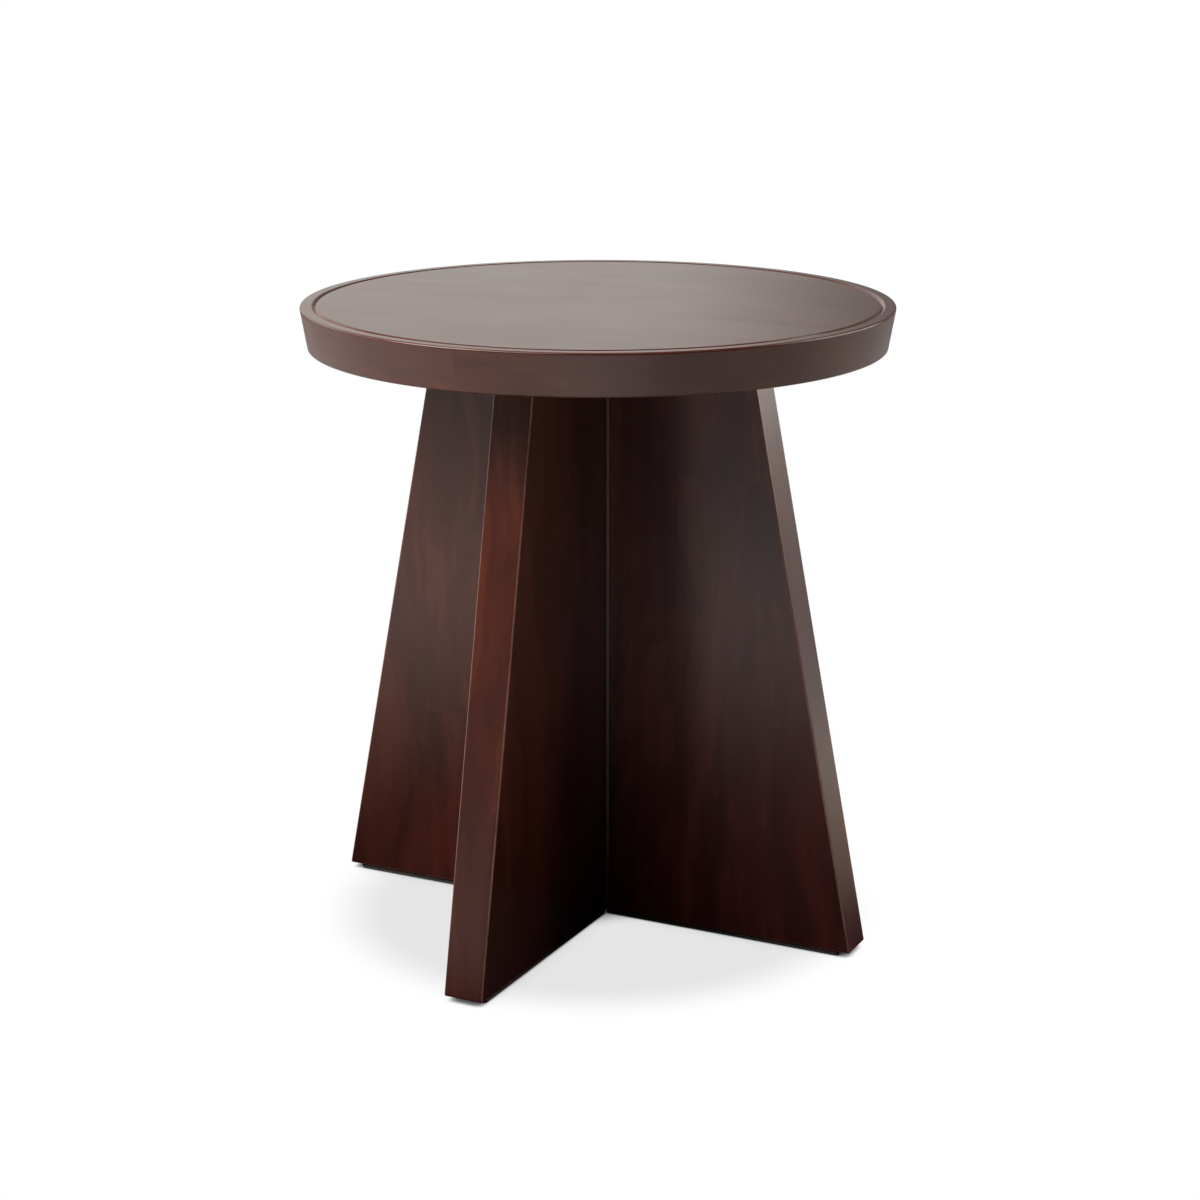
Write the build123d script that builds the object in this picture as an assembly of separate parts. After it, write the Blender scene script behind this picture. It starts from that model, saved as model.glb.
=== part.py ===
from build123d import *
import math
import os

# Round side table in dark solid wood. A thick round top stands on two tapered planks that are
# halved into each other at right angles, so that four wings spread towards the floor.
# Frame: millimetres, +Z up, origin on the floor under the middle of the table.
# The wings of plank A point along -X and +X, those of plank B along -Y and +Y.

# ---- driving dimensions: top ----
top_diameter = 450
top_thickness = 32
rim_undercut = 5.5        # the rim's wall leans in by this much from top to bottom
rim_width = 11            # radial width of the rim's top, up to the middle of the V-joint
rim_ledge = 20            # the rim runs this far in under the field and carries it
rim_segments = 6
first_rim_joint = -90     # degrees from +X
field_thickness = 18
field_staves = 5
joint_groove = 2          # half width and depth of the V-joint between rim and field

# ---- driving dimensions: base ----
plank_height = 452
plank_thickness = 32
wing_reach_foot = 222.5   # from the middle to a wing's outer edge at its foot
wing_reach_head = 134     # the same at its head, under the top
plank_staves = 6
lap_clearance = 0.1       # how much wider than the plank a lap slot is
bead_leg = 1.4            # legs of the filler bead's triangle, on the two planks' faces
pad_thickness = 4
pad_length = 200
pad_inset = 9             # from the wing's outer edge
pad_corner = 3

# ---- driving dimensions: arrises ----
arris = 1.5               # rounding of the edges that a hand meets
lip_ease = 0.4            # each lip of the V-joint is cut back this far along both of its faces

# ---- driving dimensions: joining the top to the base ----
disc_diameter = 300
disc_arris = 1
bolt_offset = 82          # bolts stand this far from the middle along X and along Y
screw_reaches = (60, 112)  # distances of the screws from the middle along each wing
dowel_reach = 86
hole_clearance = 0.05     # radial play of a fastener or dowel in its hole

bolt_radius = 3
bolt_length = 25
bolt_head_radius = 5.25
bolt_head_height = 3.3
bolt_head_crown = 2       # rounding of the button head
bolt_point_chamfer = 0.6
bolt_socket_across_flats = 4
bolt_socket_depth = 2
bolt_hole_radius = 3.3
washer_radius = 9
washer_thickness = 1.6
washer_edge = 0.3
insert_radius = 4.5
insert_length = 13
insert_flange_radius = 6
insert_flange_thickness = 1.2

screw_length = 45
screw_radius = 2.1
screw_head_radius = 4.2
screw_tip = 5             # length of the pointed end
screw_tip_radius = 0.3
screw_recess_length = 4.6
screw_recess_width = 1.2
screw_recess_depth = 1.6

dowel_radius = 4
dowel_in_disc = 10
dowel_in_plank = 20
dowel_end_play = 1
dowel_chamfer = 0.8

tenon_length = 30
tenon_width = 14
tenon_thickness = 5
tenon_corner = 3.5
tenon_play = 0.1

# ---- levels and radii that follow ----
foot_z = pad_thickness
head_z = foot_z + plank_height
top_z = head_z + top_thickness
lap_z = foot_z + plank_height / 2
field_z = top_z - field_thickness
disc_thickness = field_z - head_z
top_radius = top_diameter / 2
joint_radius = top_radius - rim_width
rim_inner_radius = joint_radius - rim_ledge
rim_foot_radius = top_radius - rim_undercut
disc_radius = disc_diameter / 2
lap_width = plank_thickness + lap_clearance
pad_width = plank_thickness - 2 * arris
lip_drop = lip_ease * math.sqrt(0.5)   # lip_ease measured down the V-joint's 45 degree wall

quarter_turns = (0, 90, 180, 270)
cut_margin = 10           # a cutting box reaches this far past the shape it parts
bolt_places = [(x, y) for x in (-bolt_offset, bolt_offset) for y in (-bolt_offset, bolt_offset)]


def rounded_outline(points, radii):
    """Face in the XZ plane with the corners at points, each rounded by its radius in radii."""
    face = make_face(Plane.XZ * Polyline(*points, close=True))
    for (x, z), radius in zip(points, radii):
        if radius:
            corner = face.vertices().sort_by_distance((x, 0, z))[0]
            face = fillet(corner, radius)
    return face


def cylinder(x, y, low_z, radius, height):
    """Upright cylinder that stands on low_z."""
    shape = Cylinder(radius, height, align=(Align.CENTER, Align.CENTER, Align.MIN))
    return Pos(x, y, low_z) * shape


def cone(x, y, low_z, low_radius, high_radius, height):
    """Upright cone frustum that stands on low_z."""
    shape = Cone(low_radius, high_radius, height, align=(Align.CENTER, Align.CENTER, Align.MIN))
    return Pos(x, y, low_z) * shape


def slab(low_x, high_x, low_y, high_y, low_z, high_z):
    """Box between two opposite corners."""
    middle = Pos((low_x + high_x) / 2, (low_y + high_y) / 2, (low_z + high_z) / 2)
    return middle * Box(high_x - low_x, high_y - low_y, high_z - low_z)


def on_each_wing(reach):
    """Points on the middle line of the four wings, at one distance from the middle."""
    return [(reach, 0), (0, reach), (-reach, 0), (0, -reach)]


# ---- fasteners and other joining pieces ----
def wood_screw(x, y, play=0):
    """Countersunk screw, head flush with the mounting disc's upper face; play widens it to a hole."""
    head_height = screw_head_radius - screw_radius
    shank_low = field_z - screw_length + screw_tip
    head = cone(x, y, field_z - head_height, screw_radius + play, screw_head_radius + play, head_height)
    shank = cylinder(x, y, shank_low, screw_radius + play, field_z - head_height - shank_low)
    tip = cone(x, y, shank_low - screw_tip, screw_tip_radius + play, screw_radius + play, screw_tip)
    return head + shank + tip


def screw_recess(x, y):
    """Cross-shaped driver recess in a screw's head."""
    blade = Box(screw_recess_length, screw_recess_width, 2 * screw_recess_depth)
    return Pos(x, y, field_z) * (blade + Rot(0, 0, 90) * blade)


def dowel(x, y, play=0, end_play=0):
    """Dowel half in the mounting disc and half in a plank's head; the plays widen it to a hole."""
    low = head_z - dowel_in_plank - end_play
    length = dowel_in_plank + dowel_in_disc + 2 * end_play
    return cylinder(x, y, low, dowel_radius + play, length)


def top_bolt(x, y):
    """Button-head bolt with a hexagon socket, pushed up from under the mounting disc."""
    seat = head_z - washer_thickness
    head = cylinder(x, y, seat - bolt_head_height, bolt_head_radius, bolt_head_height)
    head = fillet(head.edges().group_by(Axis.Z)[0], bolt_head_crown)
    shank = cylinder(x, y, seat, bolt_radius, bolt_length)
    shank = chamfer(shank.edges().group_by(Axis.Z)[-1], bolt_point_chamfer)
    hexagon = RegularPolygon(bolt_socket_across_flats / 2, 6, major_radius=False)
    socket = Pos(x, y, seat - bolt_head_height) * extrude(hexagon, bolt_socket_depth)
    return head + shank - socket


def washer(x, y):
    """Penny washer between a bolt's head and the mounting disc."""
    low = head_z - washer_thickness
    ring = cylinder(x, y, low, washer_radius, washer_thickness)
    ring = fillet(ring.edges().filter_by(GeomType.CIRCLE), washer_edge)
    return ring - cylinder(x, y, low, bolt_hole_radius, washer_thickness)


def insert_envelope(x, y, play=0):
    """Outer shape of a threaded insert in the field's underside, with its flange flush."""
    body = cylinder(x, y, field_z, insert_radius + play, insert_length + play)
    flange = cylinder(x, y, field_z, insert_flange_radius + play, insert_flange_thickness + play)
    return body + flange


def threaded_insert(x, y):
    """Threaded insert with its bore, which a bolt's plain shank stands in."""
    bore = cylinder(x, y, field_z, bolt_radius + hole_clearance, insert_length)
    return insert_envelope(x, y) - bore


def rim_tenon(angle, play=0):
    """Loose tenon lying across the rim joint at this angle, in the thick part of the ring."""
    radius = (rim_inner_radius + rim_foot_radius) / 2
    block = Box(tenon_width + 2 * play, tenon_length + 2 * play, tenon_thickness + 2 * play)
    block = fillet(block.edges().filter_by(Axis.Z), tenon_corner)
    return Rot(0, 0, angle) * Pos(radius, 0, (head_z + field_z) / 2) * block


# ---- top ----
def rim_ring_segment(number):
    """One arc of the rim with its half of both tenon mortises."""
    lip = joint_radius + joint_groove
    points = [(top_radius, top_z), (rim_foot_radius, head_z), (rim_inner_radius, head_z),
              (rim_inner_radius, field_z), (joint_radius, field_z),
              (joint_radius, top_z - joint_groove), (lip - lip_drop, top_z - lip_drop),
              (lip + lip_ease, top_z)]
    radii = [arris, arris, disc_arris, 0, 0, 0, 0, 0]
    profile = rounded_outline(points, radii)
    sweep = 360 / rim_segments
    start = first_rim_joint + number * sweep
    segment = Rot(0, 0, start) * revolve(profile, Axis.Z, revolution_arc=sweep)
    for angle in (start, start + sweep):
        segment -= rim_tenon(angle, tenon_play)
    return segment


def field_board():
    """The whole field before it is parted into staves, with the holes for the inserts."""
    lip = joint_radius - joint_groove
    points = [(0, field_z), (joint_radius, field_z), (joint_radius, top_z - joint_groove),
              (lip + lip_drop, top_z - lip_drop), (lip - lip_ease, top_z), (0, top_z)]
    board = revolve(make_face(Plane.XZ * Polyline(*points, close=True)), Axis.Z)
    for x, y in bolt_places:
        board -= insert_envelope(x, y, hole_clearance)
    return board


def mounting_disc():
    """Disc in the recess under the field: screwed to the planks, bolted to the field."""
    disc = cylinder(0, 0, head_z, disc_radius, disc_thickness)
    disc = fillet(disc.edges().group_by(Axis.Z)[0], disc_arris)
    for x, y in bolt_places:
        disc -= cylinder(x, y, head_z, bolt_hole_radius, disc_thickness)
    for reach in screw_reaches:
        for x, y in on_each_wing(reach):
            disc -= wood_screw(x, y, hole_clearance)
    for x, y in on_each_wing(dowel_reach):
        disc -= dowel(x, y, hole_clearance, dowel_end_play)
    return disc


# ---- base ----
def plank_blank():
    """Tapered plank along X with rounded arrises, before its slot and holes."""
    corners = [(-wing_reach_foot, foot_z), (wing_reach_foot, foot_z),
               (wing_reach_head, head_z), (-wing_reach_head, head_z)]
    outline = make_face(Plane.XZ * Polyline(*corners, close=True))
    blank = extrude(outline, plank_thickness / 2, both=True)
    head_edges = blank.edges().group_by(Axis.Z)[-1]
    return fillet(blank.edges() - head_edges, arris)


def plank(slot_low, slot_high):
    """Whole plank along X with its lap slot and the holes in its head."""
    slot = slab(-lap_width / 2, lap_width / 2, -plank_thickness, plank_thickness, slot_low, slot_high)
    shape = plank_blank() - slot
    for side in (-1, 1):
        for reach in screw_reaches:
            shape -= wood_screw(side * reach, 0, hole_clearance)
        shape -= dowel(side * dowel_reach, 0, hole_clearance, dowel_end_play)
    return shape


def corner_bead(turn):
    """Bead of stained filler down the inner corner between two wings, over the lap joint's seam."""
    face = plank_thickness / 2
    section = Polyline((face, face), (face + bead_leg, face), (face, face + bead_leg), close=True)
    bead = extrude(make_face(section), head_z - foot_z - arris)
    return Rot(0, 0, turn) * Pos(0, 0, foot_z + arris) * bead


def foot_pad(turn):
    """Felt strip under one wing."""
    pad = Pos(wing_reach_foot - pad_inset - pad_length / 2, 0, pad_thickness / 2)
    pad *= Box(pad_length, pad_width, pad_thickness)
    pad = fillet(pad.edges().filter_by(Axis.Z), pad_corner)
    return Rot(0, 0, turn) * pad


# ---- helpers that part a shape and write the pieces ----
def parted_along_x(shape, count, half_length, half_width):
    """Shape cut into strips of one width across X; the outer cuts stand clear of its ends."""
    cuts = [-half_length + number * 2 * half_length / count for number in range(count + 1)]
    cuts[0] -= cut_margin
    cuts[-1] += cut_margin
    strips = [slab(low, high, -half_width, half_width, 0, top_z) for low, high in zip(cuts, cuts[1:])]
    return [shape & strip for strip in strips]


def write(name, shapes):
    """Write one node, of one or more separate solids."""
    solids = [solid for shape in shapes for solid in shape.solids()]
    piece = solids[0] if len(solids) == 1 else Compound(children=solids)
    piece.label = name
    export_step(piece, f"parts/{name}.step")


os.makedirs("parts", exist_ok=True)

for number in range(rim_segments):
    write(f"rim_segment_{number + 1}", [rim_ring_segment(number)])
rim_angles = [first_rim_joint + number * 360 / rim_segments for number in range(rim_segments)]
write("rim_joint_tenons", [rim_tenon(angle) for angle in rim_angles])

# The field's boards run along X, so the board is parted across Y.
turned_board = Rot(0, 0, 90) * field_board()
for number, stave in enumerate(parted_along_x(turned_board, field_staves, joint_radius, top_radius)):
    write(f"field_stave_{number + 1}", [Rot(0, 0, -90) * stave])

for letter, turn, slot_low, slot_high in (("a", 0, lap_z, head_z), ("b", 90, foot_z, lap_z)):
    staves = parted_along_x(plank(slot_low, slot_high), plank_staves, wing_reach_foot, plank_thickness)
    for number, stave in enumerate(staves):
        write(f"plank_{letter}_stave_{number + 1}", [Rot(0, 0, turn) * stave])

write("mounting_disc", [mounting_disc()])
screw_places = [place for reach in screw_reaches for place in on_each_wing(reach)]
write("base_screws", [wood_screw(x, y) - screw_recess(x, y) for x, y in screw_places])
dowels = [dowel(x, y) for x, y in on_each_wing(dowel_reach)]
write("locating_dowels", [chamfer(d.edges().filter_by(GeomType.CIRCLE), dowel_chamfer) for d in dowels])
write("top_bolts", [top_bolt(x, y) for x, y in bolt_places])
write("bolt_washers", [washer(x, y) for x, y in bolt_places])
write("threaded_inserts", [threaded_insert(x, y) for x, y in bolt_places])

write("corner_beads", [corner_bead(turn) for turn in quarter_turns])
for side, turn in zip(("right", "back", "left", "front"), quarter_turns):
    write(f"foot_pad_{side}", [foot_pad(turn)])
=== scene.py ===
import math
import random

import bmesh
import bpy
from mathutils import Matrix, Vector, noise


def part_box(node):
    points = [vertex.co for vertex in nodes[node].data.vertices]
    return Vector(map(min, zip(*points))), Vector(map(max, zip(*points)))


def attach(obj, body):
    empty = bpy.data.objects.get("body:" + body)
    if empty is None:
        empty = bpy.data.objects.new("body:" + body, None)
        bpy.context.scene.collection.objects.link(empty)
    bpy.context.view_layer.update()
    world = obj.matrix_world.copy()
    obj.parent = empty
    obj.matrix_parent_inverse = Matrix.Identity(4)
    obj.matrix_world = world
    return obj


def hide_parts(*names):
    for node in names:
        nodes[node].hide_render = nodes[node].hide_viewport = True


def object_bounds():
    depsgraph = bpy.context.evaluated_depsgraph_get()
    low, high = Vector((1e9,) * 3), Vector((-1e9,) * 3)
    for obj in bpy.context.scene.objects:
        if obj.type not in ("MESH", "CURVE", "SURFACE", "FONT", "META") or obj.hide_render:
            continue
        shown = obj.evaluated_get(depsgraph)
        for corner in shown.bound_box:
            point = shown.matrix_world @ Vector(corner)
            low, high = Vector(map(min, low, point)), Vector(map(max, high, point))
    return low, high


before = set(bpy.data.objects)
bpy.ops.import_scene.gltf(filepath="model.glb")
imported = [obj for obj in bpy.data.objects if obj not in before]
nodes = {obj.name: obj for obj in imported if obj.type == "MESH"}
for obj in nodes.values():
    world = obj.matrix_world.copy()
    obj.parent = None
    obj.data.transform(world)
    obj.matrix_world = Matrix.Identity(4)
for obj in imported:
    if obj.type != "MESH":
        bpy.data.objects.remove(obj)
cad_low, cad_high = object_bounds()

# ---------------------------------------------------------------- camera
CAMERA_AZIMUTH = math.radians(26.46)      # 0 is the front, 90 degrees the right
CAMERA_PITCH = math.radians(15.24)
CAMERA_DISTANCE = 2.1002
CAMERA_LENS, CAMERA_SENSOR = 80.8, 36
CAMERA_SHIFT_X = 0.0017
CAMERA_REACH = 200        # it sees past the edge of the floor
AIM_SHARE = 0.52          # it looks at the table's axis, at this share of the table's height


def direction(azimuth, elevation):
    """Unit vector towards an azimuth and an elevation."""
    return Vector((math.sin(azimuth) * math.cos(elevation),
                   -math.cos(azimuth) * math.cos(elevation),
                   math.sin(elevation)))


def look_against(obj, back):
    """Turn a camera or a light so that back points away behind it."""
    obj.rotation_mode = "QUATERNION"
    obj.rotation_quaternion = (-back).to_track_quat("-Z", "Y")


def make_camera():
    """Camera that looks down at the table's axis from the front right."""
    data = bpy.data.cameras.new("camera")
    data.lens = CAMERA_LENS
    data.sensor_width = CAMERA_SENSOR
    data.shift_x = CAMERA_SHIFT_X
    data.clip_end = CAMERA_REACH
    camera = bpy.data.objects.new("camera", data)
    bpy.context.scene.collection.objects.link(camera)
    back = direction(CAMERA_AZIMUTH, CAMERA_PITCH)
    camera.location = Vector((0, 0, cad_high.z * AIM_SHARE)) + back * CAMERA_DISTANCE
    look_against(camera, back)
    bpy.context.scene.camera = camera


# ---------------------------------------------------------------- node helpers
MIX_FACTOR, MIX_A, MIX_B, MIX_RESULT = 0, 6, 7, 2      # sockets of a Mix node that mixes colours


class Shader:
    """A node tree with short calls for the nodes that the materials use."""

    def __init__(self, name, world=False):
        owner = bpy.data.worlds if world else bpy.data.materials
        self.made = owner.new(name)
        self.made.use_nodes = True
        self.tree = self.made.node_tree
        self.tree.nodes.clear()
        self.world = world

    def put(self, value, socket):
        """Link a socket, or set a plain value."""
        if isinstance(value, bpy.types.NodeSocket):
            self.tree.links.new(value, socket)
        else:
            socket.default_value = value

    def node(self, kind, inputs=None, **settings):
        made = self.tree.nodes.new(kind)
        for key, value in settings.items():
            setattr(made, key, value)
        for key, value in (inputs or {}).items():
            self.put(value, made.inputs[key])
        return made

    def math(self, operation, a, b=0.0, c=0.0):
        return self.node("ShaderNodeMath", {0: a, 1: b, 2: c}, operation=operation).outputs[0]

    def times(self, a, b):
        return self.math("MULTIPLY", a, b)

    def line(self, value, slope, start):
        """start + slope * value."""
        return self.math("MULTIPLY_ADD", value, slope, start)

    def swing(self, value, size):
        """A value of 0..1 as a swing of this size about zero."""
        return self.line(value, size, -size / 2)

    def total(self, *values):
        """Sum of sockets and numbers."""
        result = values[0]
        for value in values[1:]:
            result = self.math("ADD", result, value)
        return result

    def distance(self, a, b):
        """How far apart two plain values are."""
        return self.math("ABSOLUTE", self.math("SUBTRACT", a, b))

    def vector(self, operation, a, b=(0, 0, 0)):
        made = self.node("ShaderNodeVectorMath", {0: a, 1: b}, operation=operation)
        return made.outputs["Value" if operation in ("LENGTH", "DOT_PRODUCT") else "Vector"]

    def place(self, turns=()):
        """Object coordinates in metres, turned step by step."""
        spot = self.node("ShaderNodeTexCoord").outputs["Object"]
        for turn in turns:
            spot = self.node("ShaderNodeMapping", {"Vector": spot, "Rotation": turn}).outputs[0]
        return spot

    def away_from(self, spot):
        """Distance from a spot, in metres."""
        return self.vector("LENGTH", self.vector("SUBTRACT", self.place(), spot))

    def geometry(self, output):
        return self.node("ShaderNodeNewGeometry").outputs[output]

    def parts(self, vector):
        return self.node("ShaderNodeSeparateXYZ", {0: vector}).outputs

    def joined(self, x=0.0, y=0.0, z=0.0):
        return self.node("ShaderNodeCombineXYZ", {0: x, 1: y, 2: z}).outputs[0]

    def noise(self, vector, stretch, detail=2.0, roughness=0.5, distortion=0.0, colour=False):
        """Noise with features of 1 / stretch metres along each axis."""
        spot = self.vector("MULTIPLY", vector, stretch)
        made = self.node("ShaderNodeTexNoise", {
            "Vector": spot, "Scale": 1.0, "Detail": detail,
            "Roughness": roughness, "Distortion": distortion})
        return made.outputs["Color" if colour else "Fac"]

    def steps(self, value, low, high):
        """Smooth rise from 0 to 1 while the value goes from low to high."""
        made = self.node("ShaderNodeMapRange", {"Value": value, "From Min": low, "From Max": high},
                         interpolation_type="SMOOTHSTEP")
        return made.outputs["Result"]

    def mix(self, factor, a, b, blend="MIX"):
        made = self.node("ShaderNodeMix", data_type="RGBA", blend_type=blend)
        self.put(factor, made.inputs[MIX_FACTOR])
        self.put(a, made.inputs[MIX_A])
        self.put(b, made.inputs[MIX_B])
        return made.outputs[MIX_RESULT]

    def ramp(self, value, stops):
        """Colour ramp through (position, colour) stops."""
        made = self.node("ShaderNodeValToRGB", {"Fac": value})
        elements = made.color_ramp.elements
        elements[0].position, elements[0].color = stops[0]
        elements[1].position, elements[1].color = stops[-1]
        for position, colour in stops[1:-1]:
            elements.new(position).color = colour
        return made.outputs["Color"]

    def bump(self, height, depth):
        """Surface relief, where a height of 1 stands depth metres proud."""
        return self.node("ShaderNodeBump", {"Height": height, "Distance": depth}).outputs[0]

    def principled(self, **inputs):
        """Principled shader; an underscore in a name stands for a space."""
        named = {key.replace("_", " "): value for key, value in inputs.items()}
        return self.node("ShaderNodeBsdfPrincipled", named).outputs[0]

    def finish(self, shader):
        kind = "ShaderNodeOutputWorld" if self.world else "ShaderNodeOutputMaterial"
        output = self.node(kind)
        self.tree.links.new(shader, output.inputs["Surface"])
        return self.made


def rgb(red, green, blue):
    return (red, green, blue, 1.0)


def tinted(colour, tint):
    return tuple(channel * share for channel, share in zip(colour, tint))


# ---------------------------------------------------------------- stained wood
DARK_STAIN = rgb(0.030, 0.0052, 0.0034)
MID_STAIN = rgb(0.053, 0.0098, 0.0052)
WARM_STAIN = rgb(0.096, 0.0215, 0.0098)
STAINS = ((0.10, DARK_STAIN), (0.50, MID_STAIN), (0.90, WARM_STAIN))     # by the stain's level
MIDDLE_LEVEL = 0.50
# painted highlight and wear: the light colour of the rubbed arrises
WORN_AND_HIGHLIGHT_STAIN = rgb(0.250, 0.105, 0.076)
PLAIN_TINT, PLUM_TINT = rgb(1.0, 1.0, 1.0), rgb(0.98, 0.88, 1.45)

# Noises in the wood: stretch, detail, roughness and distortion
DRIFT_NOISE = ((9, 9, 3.0), 2.0)
RAGGED_NOISE = ((60, 60, 9), 4.0, 0.62)
FLAME_NOISE = ((24, 42, 5.5), 6.0, 0.58, 0.7)
SLOW_NOISE = ((9, 9, 2.8), 2.0, 0.5)
FIBRE_NOISE = ((260, 260, 6), 4.0, 0.62)
PORE_NOISE = ((1100, 1100, 45), 1.0)
SEAM_NOISE = ((3, 3, 11), 2.0)
RUB_AND_HIGHLIGHT_NOISE = ((45, 45, 12), 4.0, 0.65)
CLOUD_NOISE = ((16, 16, 9), 3.0, 0.55)
SKIN_NOISE = ((190, 190, 80), 2.0)

# Each board's own draws
LOG_SPAN = (2, 9)                   # where in the log the board was cut, in metres
TONE_SPREAD = 0.03
LEAN_ACROSS, LEAN_THROUGH = 0.03, (0.05, 0.09)      # how far the pith leans per metre
PITH_ACROSS, PITH_THROUGH = 0.05, (0.02, 0.05)      # how far the pith lies beside the board

# Grain
DRIFT_REACH = (0.045, 0.045, 0.0)   # metres that the grain drifts sideways
NOISE_MIDDLE = (0.5, 0.5, 0.5)
RINGS_PER_METRE, RING_RAGGEDNESS = 60, 0.014
LOW_FLAMES, HIGH_FLAMES = (0.435, 0.465), (0.535, 0.565)     # edges of the two levels of flames
PORES, PORE_SHADE = (0.67, 0.75), 0.12
# How far each of them moves the stain's level
FLAME_EDGE_SWING, FLAME_SWING, SLOW_SWING, RING_SWING, FIBRE_SWING = 0.12, 0.60, 0.40, -0.07, 0.20

# Glue lines and finger joints: distances from the line where its shade starts and is full
SEAM_WIDTH, JOINT_WIDTH = (0.00045, 0.0001), (0.0005, 0.0001)
SEAM_SHADE, JOINT_SHARE = 0.7, 0.5
SEAM_PATCHES = (0.46, 0.66)         # the lines come and go
BROAD_FACE = (0.8, 0.95)            # how squarely a surface faces the broad faces' axis
JOINT_TONE = 0.02
JOINT_SHIFT_ACROSS, JOINT_SHIFT_ALONG = 0.73, 1.9      # the next length comes from elsewhere

# Rubbed arrises with a painted highlight: surfaces turned this far from the broad faces, but not
# yet square to them
RUB_AND_HIGHLIGHT_START, RUB_AND_HIGHLIGHT_END = (0.99, 0.92), (0.25, 0.50)
RUB_AND_HIGHLIGHT_PATCHES = (0.30, 0.62)
RUB_AND_HIGHLIGHT_PATCHY, RUB_AND_HIGHLIGHT_EVEN = 0.45, 0.55   # shares of the rubbing and painted highlight that come in patches and everywhere

# Satin lacquer
LACQUER_INDEX = 1.5
ROUGHNESS, CLOUD_ROUGHNESS, RUB_ROUGHNESS = 0.20, 0.08, 0.04
FIBRE_RELIEF, SKIN_RELIEF = 0.20, 0.35
RELIEF_DEPTH = 0.00004

FLAT_X, FLAT_Y, FLAT_Z = 0, 1, 2    # axis that a board's broad faces look along
UPRIGHT_A = ((0, 0, 0),)            # plank A: X is across the board, the grain runs along Z
UPRIGHT_B = ((0, 0, math.radians(-90)),)      # plank B: the same, with Y across the board
LYING_X = ((0, math.radians(90), 0),)         # field boards: the grain runs along X

# Boards. Two neighbours in a plank were ripped from one length, so their grain runs on.
FINGER_JOINTS = {                   # place along the grain where another length is joined on
    "plank_a_stave_5": 0.364, "plank_a_stave_2": 0.148,
    "plank_b_stave_5": 0.236, "plank_b_stave_3": 0.301,
    "field_stave_4": 0.061,
}
PLANK_A_SEED, PLANK_B_SEED, FIELD_SEED, RIM_SEED = 20, 40, 60, 80
PLANK_A_TONES = (0.02, 0.00, 0.15)            # of a plank's three lengths
PLANK_B_TONES = (-0.04, 0.02, 0.0)
RIM_TONE, RIM_FRONT_PAINTED_LIGHT = -0.03, 0.09        # painted light: the front segment is that much lighter, as if more light fell on it
RIM_FRONT_Y = -0.3                            # sum of the front segment's Y bounds is below this
TOP_FIGURE = 0.5                              # the top's grain is quieter than the planks'
# how far the top's arrises are rubbed and lightened with a painted highlight
FIELD_WEAR_AND_HIGHLIGHT, RIM_WEAR_AND_HIGHLIGHT = 0.2, 0.25
PLUM_FROM_X = -0.01                           # the right wing took the stain more purple
PAINTED_FOOT_SHADE, PAINTED_SHADE_FOOT_BAND = 0.22, (0.24, 0.04)     # painted shade: the planks darken towards the floor, where less light reaches them


def chord_turns(name):
    """Turns that lay a rim segment's chord along Z: radius along X, then the chord upright."""
    low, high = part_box(name)
    middle = (low + high) / 2
    return ((0, 0, -math.atan2(middle.y, middle.x)), (math.radians(90), 0, 0))


def growth_rings(s, draw, offset, spot, bent):
    """Rings about a leaning pith beside the board: arches and flames where a face cuts them."""
    x, y, z = s.parts(bent)
    lean_x = draw.uniform(-LEAN_ACROSS, LEAN_ACROSS)
    lean_y = draw.choice((-1, 1)) * draw.uniform(*LEAN_THROUGH)
    pith_x = offset[0] + draw.uniform(-PITH_ACROSS, PITH_ACROSS)
    pith_y = offset[1] + draw.choice((-1, 1)) * draw.uniform(*PITH_THROUGH)
    from_pith_x = s.math("SUBTRACT", s.line(z, lean_x, x), pith_x + offset[2] * lean_x)
    from_pith_y = s.math("SUBTRACT", s.line(z, lean_y, y), pith_y + offset[2] * lean_y)
    radius = s.vector("LENGTH", s.joined(from_pith_x, from_pith_y))
    radius = s.line(s.noise(spot, *RAGGED_NOISE), RING_RAGGEDNESS, radius)
    wave = s.math("SINE", s.times(radius, math.tau * RINGS_PER_METRE))
    return s.line(wave, 0.5, 0.5)


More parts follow.
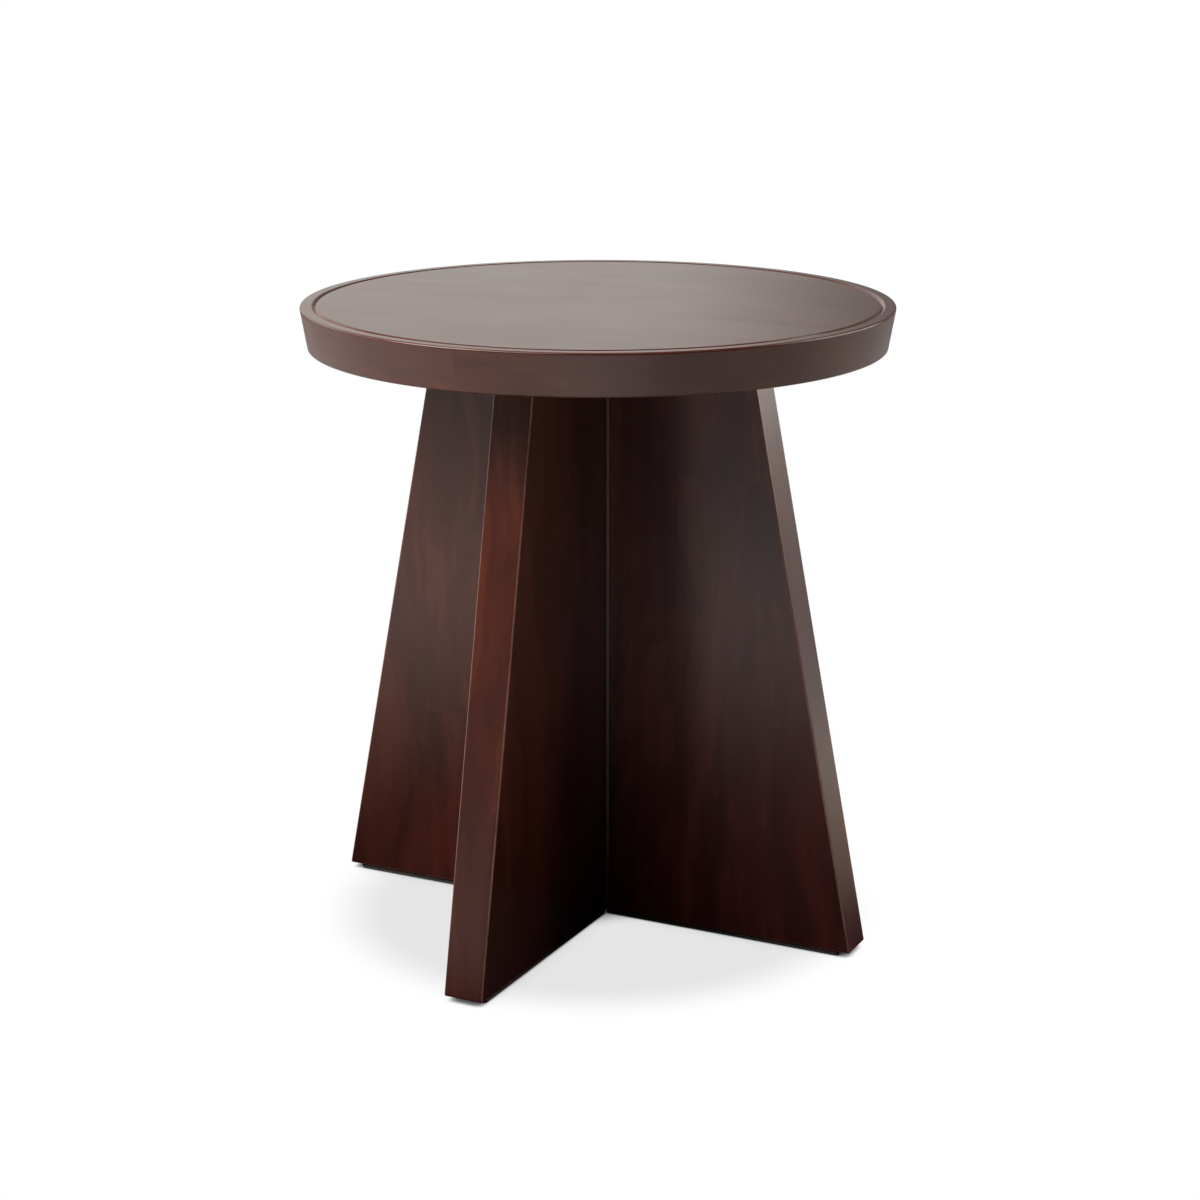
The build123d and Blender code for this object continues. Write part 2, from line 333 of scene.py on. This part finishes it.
def wood_material(name, turns, flat_axis, seed, figure=1.0, tone=0.0, wear_and_highlight=1.0, seams=(),
                  joint=None, tint=PLAIN_TINT):
    """Dark stained wood under satin lacquer. turns bring the grain along Z; the broad faces look
    along flat_axis; seed picks the part of the log; figure is how strongly the grain shows; tone
    makes the board lighter; the next argument is how far its arrises are rubbed and lightened
    with a painted highlight; seams are glue lines, at these distances across the board; above
    joint, a height along it, another length is finger-jointed on; tint colours the stain."""
    draw = random.Random(seed)
    s = Shader(name)
    turned = s.place(turns)
    offset = (draw.uniform(*LOG_SPAN), draw.uniform(*LOG_SPAN), draw.uniform(*LOG_SPAN))
    spot = s.vector("ADD", turned, offset)
    tone = tone + draw.uniform(-TONE_SPREAD, TONE_SPREAD)
    joint_tone = draw.choice((-JOINT_TONE, JOINT_TONE))
    across, _, along = s.parts(turned)

    joint_line = 0.0
    if joint is not None:
        above = s.math("GREATER_THAN", along, joint)
        shift = s.joined(s.times(above, JOINT_SHIFT_ACROSS), 0.0, s.times(above, JOINT_SHIFT_ALONG))
        spot = s.vector("ADD", spot, shift)
        tone = s.line(above, joint_tone, tone)
        joint_line = s.steps(s.distance(along, joint), *JOINT_WIDTH)

    # the grain drifts slowly from side to side along the board
    drift = s.vector("SUBTRACT", s.noise(spot, *DRIFT_NOISE, colour=True), NOISE_MIDDLE)
    bent = s.vector("ADD", spot, s.vector("MULTIPLY", drift, DRIFT_REACH))
    ring = growth_rings(s, draw, offset, spot, bent)

    # the stain takes in ragged flames, in two soft-edged levels over a slow change
    flame = s.noise(bent, *FLAME_NOISE)
    slow = s.noise(spot, *SLOW_NOISE)

    # fibres and pores along the grain, nearly closed by the lacquer
    fibre = s.noise(spot, *FIBRE_NOISE)
    pore = s.steps(s.noise(spot, *PORE_NOISE), *PORES)

    level = s.total(s.swing(s.steps(flame, *LOW_FLAMES), FLAME_EDGE_SWING),
                    s.swing(s.steps(flame, *HIGH_FLAMES), FLAME_EDGE_SWING),
                    s.swing(flame, FLAME_SWING), s.swing(slow, SLOW_SWING),
                    s.swing(ring, RING_SWING), s.swing(fibre, FIBRE_SWING))
    level = s.math("ADD", s.line(level, figure, MIDDLE_LEVEL), tone)
    facing = s.math("ABSOLUTE", s.parts(s.geometry("Normal"))[flat_axis])
    # painted shade: the broad faces of the planks darken towards the floor
    if flat_axis != FLAT_Z:
        painted_foot_shade = s.times(s.steps(along, *PAINTED_SHADE_FOOT_BAND), facing)
        level = s.line(painted_foot_shade, -PAINTED_FOOT_SHADE, level)
    colour = s.ramp(level, [(position, tinted(stain, tint)) for position, stain in STAINS])
    colour = s.mix(s.times(pore, PORE_SHADE), colour, DARK_STAIN)

    # faint dark glue lines on the broad faces
    line = s.times(joint_line, JOINT_SHARE)
    for seam in seams:
        line = s.math("MAXIMUM", line, s.steps(s.distance(across, seam), *SEAM_WIDTH))
    patchy = s.times(s.steps(s.noise(spot, *SEAM_NOISE), *SEAM_PATCHES),
                     s.steps(facing, *BROAD_FACE))
    colour = s.mix(s.times(s.times(line, patchy), SEAM_SHADE), colour, DARK_STAIN)

    # rubbed arrises, lightened both by wear and by a painted highlight along the rounded edges
    edge = s.times(s.steps(facing, *RUB_AND_HIGHLIGHT_END), s.steps(facing, *RUB_AND_HIGHLIGHT_START))
    rub_and_highlight_patch = s.steps(s.noise(spot, *RUB_AND_HIGHLIGHT_NOISE), *RUB_AND_HIGHLIGHT_PATCHES)
    rub_and_highlight = s.times(edge, s.line(rub_and_highlight_patch, RUB_AND_HIGHLIGHT_PATCHY * wear_and_highlight, RUB_AND_HIGHLIGHT_EVEN * wear_and_highlight))
    colour = s.mix(rub_and_highlight, colour, WORN_AND_HIGHLIGHT_STAIN)

    # satin lacquer: a slightly clouded gloss, a little duller where it is rubbed
    rough = s.line(s.noise(spot, *CLOUD_NOISE), CLOUD_ROUGHNESS,
                   s.line(rub_and_highlight, RUB_ROUGHNESS, ROUGHNESS))
    relief = s.line(fibre, FIBRE_RELIEF, s.times(s.noise(spot, *SKIN_NOISE), SKIN_RELIEF))
    return s.finish(s.principled(Base_Color=colour, Roughness=rough, IOR=LACQUER_INDEX,
                                 Normal=s.bump(relief, RELIEF_DEPTH)))


def paint(obj, material):
    """Give every slot of an object one material."""
    if not obj.material_slots:
        obj.data.materials.append(material)
    for slot in obj.material_slots:
        slot.material = material


def paint_wood():
    """A material for every board."""
    for name, node in nodes.items():
        low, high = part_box(name)
        number = int(name[-1]) if name[-1].isdigit() else 0
        length = (number + 1) // 2
        joint = FINGER_JOINTS.get(name)
        label = "wood_" + name
        if name.startswith("plank_a"):
            tint = PLUM_TINT if low.x > PLUM_FROM_X else PLAIN_TINT
            wood = wood_material(label, UPRIGHT_A, FLAT_Y, PLANK_A_SEED + length,
                                 tone=PLANK_A_TONES[length - 1], seams=(low.x, high.x),
                                 joint=joint, tint=tint)
        elif name.startswith("plank_b"):
            wood = wood_material(label, UPRIGHT_B, FLAT_X, PLANK_B_SEED + length,
                                 tone=PLANK_B_TONES[length - 1], seams=(low.y, high.y),
                                 joint=joint)
        elif name.startswith("field_stave"):
            wood = wood_material(label, LYING_X, FLAT_Z, FIELD_SEED + number, TOP_FIGURE,
                                 wear_and_highlight=FIELD_WEAR_AND_HIGHLIGHT, joint=joint)
        elif name.startswith("rim_segment"):
            # painted light: the rim's front segment is made lighter
            front = 1.0 if (low + high).y < RIM_FRONT_Y else 0.0
            wood = wood_material(label, chord_turns(name), FLAT_Z, RIM_SEED, TOP_FIGURE,
                                 RIM_TONE + RIM_FRONT_PAINTED_LIGHT * front, RIM_WEAR_AND_HIGHLIGHT)
        else:
            continue
        paint(node, wood)


# ---------------------------------------------------------------- other materials
FILLER_NOISE = ((160, 160, 25), 3.0, 0.6)
FILLER_CLOUDS = (0.35, 0.7)
FILLER_DARK, FILLER_LIGHT = rgb(0.022, 0.009, 0.007), rgb(0.055, 0.026, 0.019)
FILLER_ROUGHNESS, FILLER_CLOUD_ROUGHNESS, FILLER_DEPTH = 0.24, 0.12, 0.0001


def filler_material():
    """Stained filler, wiped smooth along the seam."""
    s = Shader("stained_filler")
    cloud = s.noise(s.place(), *FILLER_NOISE)
    colour = s.mix(s.steps(cloud, *FILLER_CLOUDS), FILLER_DARK, FILLER_LIGHT)
    rough = s.line(cloud, FILLER_CLOUD_ROUGHNESS, FILLER_ROUGHNESS)
    return s.finish(s.principled(Base_Color=colour, Roughness=rough,
                                 Normal=s.bump(cloud, FILLER_DEPTH)))


PLIES = 9
VENEER_DRIFT_NOISE = ((4, 12, 1), 2.0)
VENEER_DRIFT = 1.2
VENEER_ALONG, VENEER_ACROSS = 3.0, 60.0       # the veneer's grain runs along X
VENEER_NOISE = ((1, 1, 1), 5.0, 0.65)
VENEER_STAINS = [(0.30, rgb(0.020, 0.0062, 0.0042)), (0.55, rgb(0.046, 0.0150, 0.0088)),
                 (0.75, rgb(0.080, 0.0290, 0.0160))]
PLY_FLECK_NOISE, PLY_FLECKS = ((40, 900, 900), 1.0), (0.64, 0.72)
PLY_FLECK_SHADE, PLY_FLECK_COLOUR = 0.5, rgb(0.012, 0.004, 0.003)
PLY_LIGHT, PLY_DARK = rgb(0.115, 0.062, 0.036), rgb(0.048, 0.022, 0.013)
PLY_GRAIN_NOISE, PLY_GRAIN_SHADE = ((500, 500, 60), 3.0), 0.6
PLY_GRAIN_COLOUR = rgb(0.03, 0.013, 0.008)
PLY_GLUE_BAND, PLY_GLUE_SHADE, PLY_GLUE_COLOUR = (0.44, 0.5), 0.7, rgb(0.012, 0.005, 0.004)
PLY_FACE_FROM = 0.7               # surfaces that look this far up or down show the veneer
PLY_ROUGHNESS, PLY_GRAIN_ROUGHNESS = 0.36, 0.2
PLY_FLECK_RELIEF, PLY_DEPTH = 0.6, 0.00015


def plywood_material():
    """Stained plywood: face veneer with its grain along X, plies in turn light and dark at the
    edge."""
    low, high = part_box("mounting_disc")
    s = Shader("stained_plywood")
    spot = s.place()
    x, y, z = s.parts(spot)
    drift = s.noise(spot, *VENEER_DRIFT_NOISE)
    bent = s.joined(s.times(x, VENEER_ALONG),
                    s.line(drift, VENEER_DRIFT, s.times(y, VENEER_ACROSS)))
    veneer = s.noise(bent, *VENEER_NOISE)
    fleck = s.steps(s.noise(spot, *PLY_FLECK_NOISE), *PLY_FLECKS)
    face = s.ramp(veneer, VENEER_STAINS)
    face = s.mix(s.times(fleck, PLY_FLECK_SHADE), face, PLY_FLECK_COLOUR)

    layer = s.times(s.math("SUBTRACT", z, low.z), PLIES / (high.z - low.z))
    crossed = s.math("GREATER_THAN", s.math("FRACT", s.times(layer, 0.5)), 0.5)
    core = s.mix(crossed, PLY_LIGHT, PLY_DARK)
    core = s.mix(s.times(s.noise(spot, *PLY_GRAIN_NOISE), PLY_GRAIN_SHADE), core, PLY_GRAIN_COLOUR)
    glue = s.steps(s.distance(s.math("FRACT", layer), 0.5), *PLY_GLUE_BAND)
    core = s.mix(s.times(glue, PLY_GLUE_SHADE), core, PLY_GLUE_COLOUR)

    upright = s.math("ABSOLUTE", s.parts(s.geometry("Normal"))[FLAT_Z])
    colour = s.mix(s.math("GREATER_THAN", upright, PLY_FACE_FROM), core, face)
    rough = s.line(veneer, PLY_GRAIN_ROUGHNESS, PLY_ROUGHNESS)
    relief = s.math("SUBTRACT", veneer, s.times(fleck, PLY_FLECK_RELIEF))
    return s.finish(s.principled(Base_Color=colour, Roughness=rough,
                                 Normal=s.bump(relief, PLY_DEPTH)))


BEECH_NOISE = ((300, 300, 12), 4.0, 0.6)
BEECH_COLOURS = [(0.3, rgb(0.40, 0.235, 0.12)), (0.7, rgb(0.58, 0.40, 0.235))]
BEECH_FLECK_NOISE, BEECH_FLECKS = ((1300, 1300, 220), 1.0), (0.62, 0.68)
BEECH_FLECK_SHADE, BEECH_FLECK_COLOUR = 0.6, rgb(0.24, 0.11, 0.05)
BEECH_ROUGHNESS, BEECH_GRAIN_ROUGHNESS, BEECH_DEPTH = 0.5, 0.2, 0.0001


def beech_material(name, turns):
    """Raw beech with its short brown flecks; turns bring the grain along Z."""
    s = Shader(name)
    spot = s.place(turns)
    streak = s.noise(spot, *BEECH_NOISE)
    fleck = s.steps(s.noise(spot, *BEECH_FLECK_NOISE), *BEECH_FLECKS)
    colour = s.ramp(streak, BEECH_COLOURS)
    colour = s.mix(s.times(fleck, BEECH_FLECK_SHADE), colour, BEECH_FLECK_COLOUR)
    rough = s.line(streak, BEECH_GRAIN_ROUGHNESS, BEECH_ROUGHNESS)
    return s.finish(s.principled(Base_Color=colour, Roughness=rough,
                                 Normal=s.bump(streak, BEECH_DEPTH)))


METAL_CLOUD_NOISE, METAL_CLOUDS = ((420, 420, 420), 3.0, 0.6), (0.35, 0.7)
METAL_FINE_NOISE, METAL_RUB_PATCHES = ((2600, 2600, 600), 2.0, 0.7), (0.35, 0.65)
METAL_EDGE_RADIUS, METAL_EDGE = 0.0004, (0.99, 0.85)
METAL_CLOUD_ROUGHNESS, METAL_FINE_ROUGHNESS = 0.14, 0.1
METAL_DEPTH = 0.00002


def metal_material(name, colour, plated, rubbed, roughness):
    """Plated steel: its colour clouded with a second one, with fine turning marks, and bright
    where tools and edges rub."""
    s = Shader(name)
    spot = s.place()
    cloud = s.noise(spot, *METAL_CLOUD_NOISE)
    fine = s.noise(spot, *METAL_FINE_NOISE)
    tint = s.mix(s.steps(cloud, *METAL_CLOUDS), colour, plated)
    rounded = s.node("ShaderNodeBevel", {"Radius": METAL_EDGE_RADIUS}, samples=4).outputs[0]
    edge = s.steps(s.vector("DOT_PRODUCT", rounded, s.geometry("Normal")), *METAL_EDGE)
    tint = s.mix(s.times(edge, s.steps(fine, *METAL_RUB_PATCHES)), tint, rubbed)
    rough = s.total(roughness, s.swing(cloud, METAL_CLOUD_ROUGHNESS),
                    s.swing(fine, METAL_FINE_ROUGHNESS))
    return s.finish(s.principled(Base_Color=tint, Metallic=1.0, Roughness=rough,
                                 Normal=s.bump(fine, METAL_DEPTH)))


FELT_MAT_NOISE, FELT_MATTING = ((700, 700, 700), 4.0, 0.75, 1.5), (0.3, 0.7)
FELT_CLUMP_NOISE, FELT_CLUMP_SHADE = ((120, 120, 120), 3.0, 0.6), 0.4
FELT_DARK, FELT_LIGHT = rgb(0.010, 0.0055, 0.0045), rgb(0.034, 0.020, 0.016)
FELT_CLUMP_COLOUR = rgb(0.008, 0.005, 0.004)
FELT_ROUGHNESS, FELT_SHEEN, FELT_SHEEN_ROUGHNESS = 0.95, 0.35, 0.5
FELT_CLUMP_RELIEF, FELT_DEPTH = 0.5, 0.0005


def felt_material():
    """Pressed brown felt: matted fibres, a soft sheen at grazing angles."""
    s = Shader("pressed_felt")
    spot = s.place()
    mat = s.noise(spot, *FELT_MAT_NOISE)
    clump = s.noise(spot, *FELT_CLUMP_NOISE)
    colour = s.mix(s.steps(mat, *FELT_MATTING), FELT_DARK, FELT_LIGHT)
    colour = s.mix(s.times(clump, FELT_CLUMP_SHADE), colour, FELT_CLUMP_COLOUR)
    relief = s.line(clump, FELT_CLUMP_RELIEF, mat)
    return s.finish(s.principled(
        Base_Color=colour, Roughness=FELT_ROUGHNESS, Sheen_Weight=FELT_SHEEN,
        Sheen_Roughness=FELT_SHEEN_ROUGHNESS, Normal=s.bump(relief, FELT_DEPTH)))


# Metals: colour, second colour of the clouds, colour where rubbed, roughness
ZINC = (rgb(0.50, 0.51, 0.52), rgb(0.62, 0.58, 0.48), rgb(0.72, 0.72, 0.70), 0.30)
BLACK_OXIDE = (rgb(0.020, 0.020, 0.022), rgb(0.035, 0.032, 0.030), rgb(0.22, 0.21, 0.20), 0.42)


def paint_hidden_parts():
    paint(nodes["corner_beads"], filler_material())
    paint(nodes["mounting_disc"], plywood_material())
    zinc = metal_material("zinc_plate", *ZINC)
    for name in ("base_screws", "bolt_washers", "threaded_inserts"):
        paint(nodes[name], zinc)
    paint(nodes["top_bolts"], metal_material("black_oxide", *BLACK_OXIDE))
    paint(nodes["locating_dowels"], beech_material("beech_dowel", UPRIGHT_A))
    paint(nodes["rim_joint_tenons"], beech_material("beech_tenon", LYING_X))


# ---------------------------------------------------------------- felt pads
PAD_CORNER, PAD_CORNER_SEGMENTS = 0.003, 6
PAD_EDGE, PAD_EDGE_SEGMENTS = 0.0009, 3
PAD_VOXEL = 0.0011
PAD_WOBBLE = 0.00035              # how far the felt's cut sides wander in
PAD_SIDE = 0.9                    # share of the half width or length beyond which is a cut side
WAVES, FUZZ, FUZZ_SHARE = 260, 900, 0.3       # per metre of side, and the fuzz's share


def bevel_edges(shape, edges, offset, segments):
    bmesh.ops.bevel(shape, geom=edges, offset=offset, segments=segments, affect="EDGES",
                    profile=0.5)


def rise(edge):
    """Height between an edge's ends."""
    return abs(edge.verts[0].co.z - edge.verts[1].co.z)


def felt_pad(name, material):
    """Felt strip in the space of its node: cut edges soft and a little uneven, both faces flat."""
    low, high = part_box(name)
    middle, size = (low + high) / 2, high - low
    shape = bmesh.new()
    bmesh.ops.create_cube(shape, size=1)
    bmesh.ops.scale(shape, vec=size, verts=shape.verts)
    upright = [edge for edge in shape.edges if rise(edge) > size.z / 2]
    bevel_edges(shape, upright, PAD_CORNER, PAD_CORNER_SEGMENTS)
    level = [edge for edge in shape.edges if rise(edge) < size.z / 2]
    bevel_edges(shape, level, PAD_EDGE, PAD_EDGE_SEGMENTS)
    bmesh.ops.translate(shape, vec=middle, verts=shape.verts)
    mesh = bpy.data.meshes.new("felt_" + name)
    shape.to_mesh(mesh)
    shape.free()
    pad = bpy.data.objects.new("felt_" + name, mesh)
    bpy.context.scene.collection.objects.link(pad)

    remesh = pad.modifiers.new("remesh", "REMESH")
    remesh.mode = "VOXEL"
    remesh.voxel_size = PAD_VOXEL
    depsgraph = bpy.context.evaluated_depsgraph_get()
    fine = bpy.data.meshes.new_from_object(pad.evaluated_get(depsgraph))
    pad.modifiers.clear()
    pad.data = fine
    for vertex in fine.vertices:
        spot = vertex.co
        inward = middle - spot
        inward.z = 0
        wobble = 0.5 + 0.5 * noise.noise(spot * WAVES)
        wobble += FUZZ_SHARE * noise.noise(spot * FUZZ)
        near_side = 2 * max(abs(spot.x - middle.x) / size.x, abs(spot.y - middle.y) / size.y)
        if near_side > PAD_SIDE:
            vertex.co = spot + inward.normalized() * max(wobble, 0) * PAD_WOBBLE
        vertex.co.z = min(max(vertex.co.z, low.z), high.z)
    for polygon in fine.polygons:
        polygon.use_smooth = True
    fine.materials.clear()
    fine.materials.append(material)
    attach(pad, "root")
    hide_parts(name)


def make_felt_pads():
    material = felt_material()
    for name in sorted(nodes):
        if name.startswith("foot_pad"):
            felt_pad(name, material)


# ---------------------------------------------------------------- studio
WHITE, BLACK = rgb(1, 1, 1), rgb(0, 0, 0)
WARM_LIGHT, WINDOW_LIGHT = rgb(1.0, 0.97, 0.925), rgb(1.0, 0.91, 0.83)
# Soft panels and walls: azimuth of the middle, half width and upper edge, in degrees, then
# radiance and colour
STUDIO_PANELS = (
    (135, 22.5, 27, 1.2, WINDOW_LIGHT),      # tall window, back right
    (135, 22.5, 7, 7.3, WINDOW_LIGHT),       # and its bright lower part
    (180, 22.5, 30, 0.25, WARM_LIGHT),       # back wall
    (225, 22.5, 30, 0.92, WARM_LIGHT),       # lit wall, back left
    (270, 22.5, 30, 1.80, WARM_LIGHT),       # side wall, left
    (312, 19.5, 30, 0.47, WARM_LIGHT),       # dimmer wall, front left
)
PANEL_SOFTNESS = math.radians(3)
# Softboxes: azimuth, elevation, power
SOFTBOXES = ((-45, 40, 62), (-18, 50, 27), (125, 35, 20))
SOFTBOX_DISTANCE, SOFTBOX_SIDE, SOFTBOX_AIM = 2.5, 1.3, (0, 0, 0.3)

FLOOR_RADIUS, FLOOR_SIDES = 40, 96
# What the table's gloss and shaded sides see: painted shade, a floor that is dark near the table
# and fades out into a pale one
FLOOR_NEAR, FLOOR_FAR, PAINTED_SHADE_EDGE = 0.06, 0.78, (0.25, 0.95)
# painted shade: a darker patch of floor out to the front left: spot, radius, core and share
PAINTED_SHADE_SPOT, PAINTED_SHADE_RADIUS, PAINTED_SHADE_CORE, PAINTED_SHADE_SHARE = (-0.62, -1.62, 0), 0.60, 0.20, 0.75
# Painted light: glowing patches on the floor that add light to the table's reflections: spot,
# radius and glow
PAINTED_FLOOR_GLOWS = (
    ((0.42, -0.85, 0), 0.42, rgb(0.38, 0.38, 0.38)),
    ((0.52, 0.62, 0), 0.66, rgb(0.36, 0.28, 0.20)),
    ((-1.13, 0.22, 0), 0.50, rgb(0.03, 0.15, 0.18)),
)
# What the camera sees: a white floor with a soft shadow under the table, which fades out between
# two distances from the middle, and a dark one close beside and under the pads
SHADOW_TONE, SHADOW_EDGE = 0.784, (0.165, 0.228)
CONTACT_TONE, CONTACT_REACH, CONTACT_EDGE = 0.03, 0.03, (0.05, 0.60)


def make_world():
    """Soft patches of light for walls and panels; the camera sees a plain white backdrop."""
    s = Shader("studio", world=True)
    x, y, z = s.parts(s.node("ShaderNodeTexCoord").outputs["Generated"])
    elevation = s.math("ARCSINE", z)
    azimuth = s.math("ARCTAN2", x, s.times(y, -1.0))
    light = BLACK
    for middle, half_width, high_edge, radiance, colour in STUDIO_PANELS:
        half_width, high_edge = math.radians(half_width), math.radians(high_edge)
        aside = s.math("SUBTRACT", azimuth, math.radians(middle))
        aside = s.math("ABSOLUTE", s.math("WRAP", aside, math.pi, -math.pi))
        wide = s.steps(aside, half_width + PANEL_SOFTNESS, half_width - PANEL_SOFTNESS)
        tall = s.steps(elevation, high_edge + PANEL_SOFTNESS, high_edge - PANEL_SOFTNESS)
        radiance = tinted(colour, rgb(radiance, radiance, radiance))
        light = s.mix(s.times(wide, tall), light, radiance, "ADD")
    seen = s.node("ShaderNodeLightPath").outputs["Is Camera Ray"]
    background = s.node("ShaderNodeBackground",
                        {"Color": s.mix(seen, light, WHITE), "Strength": 1.0})
    bpy.context.scene.world = s.finish(background.outputs[0])


def make_floor():
    """Wide pale floor that runs into the backdrop. It is clear from below."""
    mesh = bpy.data.meshes.new("floor")
    shape = bmesh.new()
    bmesh.ops.create_circle(shape, cap_ends=True, segments=FLOOR_SIDES, radius=FLOOR_RADIUS)
    shape.to_mesh(mesh)
    shape.free()
    floor = bpy.data.objects.new("floor", mesh)
    bpy.context.scene.collection.objects.link(floor)

    s = Shader("floor")
    away = s.vector("LENGTH", s.place())
    # painted shade: the floor is dark near the table and darker in one patch
    ground = s.line(s.steps(away, *PAINTED_SHADE_EDGE), FLOOR_FAR - FLOOR_NEAR, FLOOR_NEAR)
    shade_patch = s.steps(s.away_from(PAINTED_SHADE_SPOT), PAINTED_SHADE_RADIUS, PAINTED_SHADE_CORE)
    ground = s.times(ground, s.line(shade_patch, -PAINTED_SHADE_SHARE, 1.0))
    lit = s.node("ShaderNodeBsdfDiffuse", {"Color": s.joined(ground, ground, ground)}).outputs[0]
    glow = BLACK
    # painted light: the floor glows in these patches
    for spot, radius, colour in PAINTED_FLOOR_GLOWS:
        glow = s.mix(s.steps(s.away_from(spot), radius, radius / 2), glow, colour, "ADD")
    glow = s.node("ShaderNodeEmission", {"Color": glow}).outputs[0]
    lit = s.node("ShaderNodeAddShader", {0: lit, 1: glow}).outputs[0]

    tone = s.line(s.steps(away, *SHADOW_EDGE), 1.0 - SHADOW_TONE, SHADOW_TONE)
    contact = s.node("ShaderNodeAmbientOcclusion", {"Distance": CONTACT_REACH}, samples=8)
    contact = s.steps(contact.outputs["AO"], *CONTACT_EDGE)
    tone = s.times(tone, s.line(contact, 1.0 - CONTACT_TONE, CONTACT_TONE))
    pale = s.node("ShaderNodeEmission", {"Color": s.joined(tone, tone, tone)}).outputs[0]

    seen = s.node("ShaderNodeLightPath").outputs["Is Camera Ray"]
    shown = s.node("ShaderNodeMixShader", {0: seen, 1: lit, 2: pale}).outputs[0]
    clear = s.node("ShaderNodeBsdfTransparent").outputs[0]
    shown = s.node("ShaderNodeMixShader", {0: s.geometry("Backfacing"), 1: shown, 2: clear})
    material = s.finish(shown.outputs[0])
    material.cycles.emission_sampling = "NONE"
    floor.data.materials.append(material)


def make_softboxes():
    for number, (azimuth, elevation, power) in enumerate(SOFTBOXES):
        data = bpy.data.lights.new(f"softbox_{number}", "AREA")
        data.shape = "SQUARE"
        data.size = SOFTBOX_SIDE
        data.energy = power
        data.color = WARM_LIGHT[:3]
        light = bpy.data.objects.new(data.name, data)
        away = direction(math.radians(azimuth), math.radians(elevation))
        light.location = Vector(SOFTBOX_AIM) + away * SOFTBOX_DISTANCE
        look_against(light, away)
        light.visible_camera = False
        bpy.context.scene.collection.objects.link(light)


make_camera()
paint_wood()
paint_hidden_parts()
make_felt_pads()
make_world()
make_floor()
make_softboxes()
scene = bpy.context.scene
scene.view_settings.view_transform = "Standard"
scene.view_settings.look = "None"
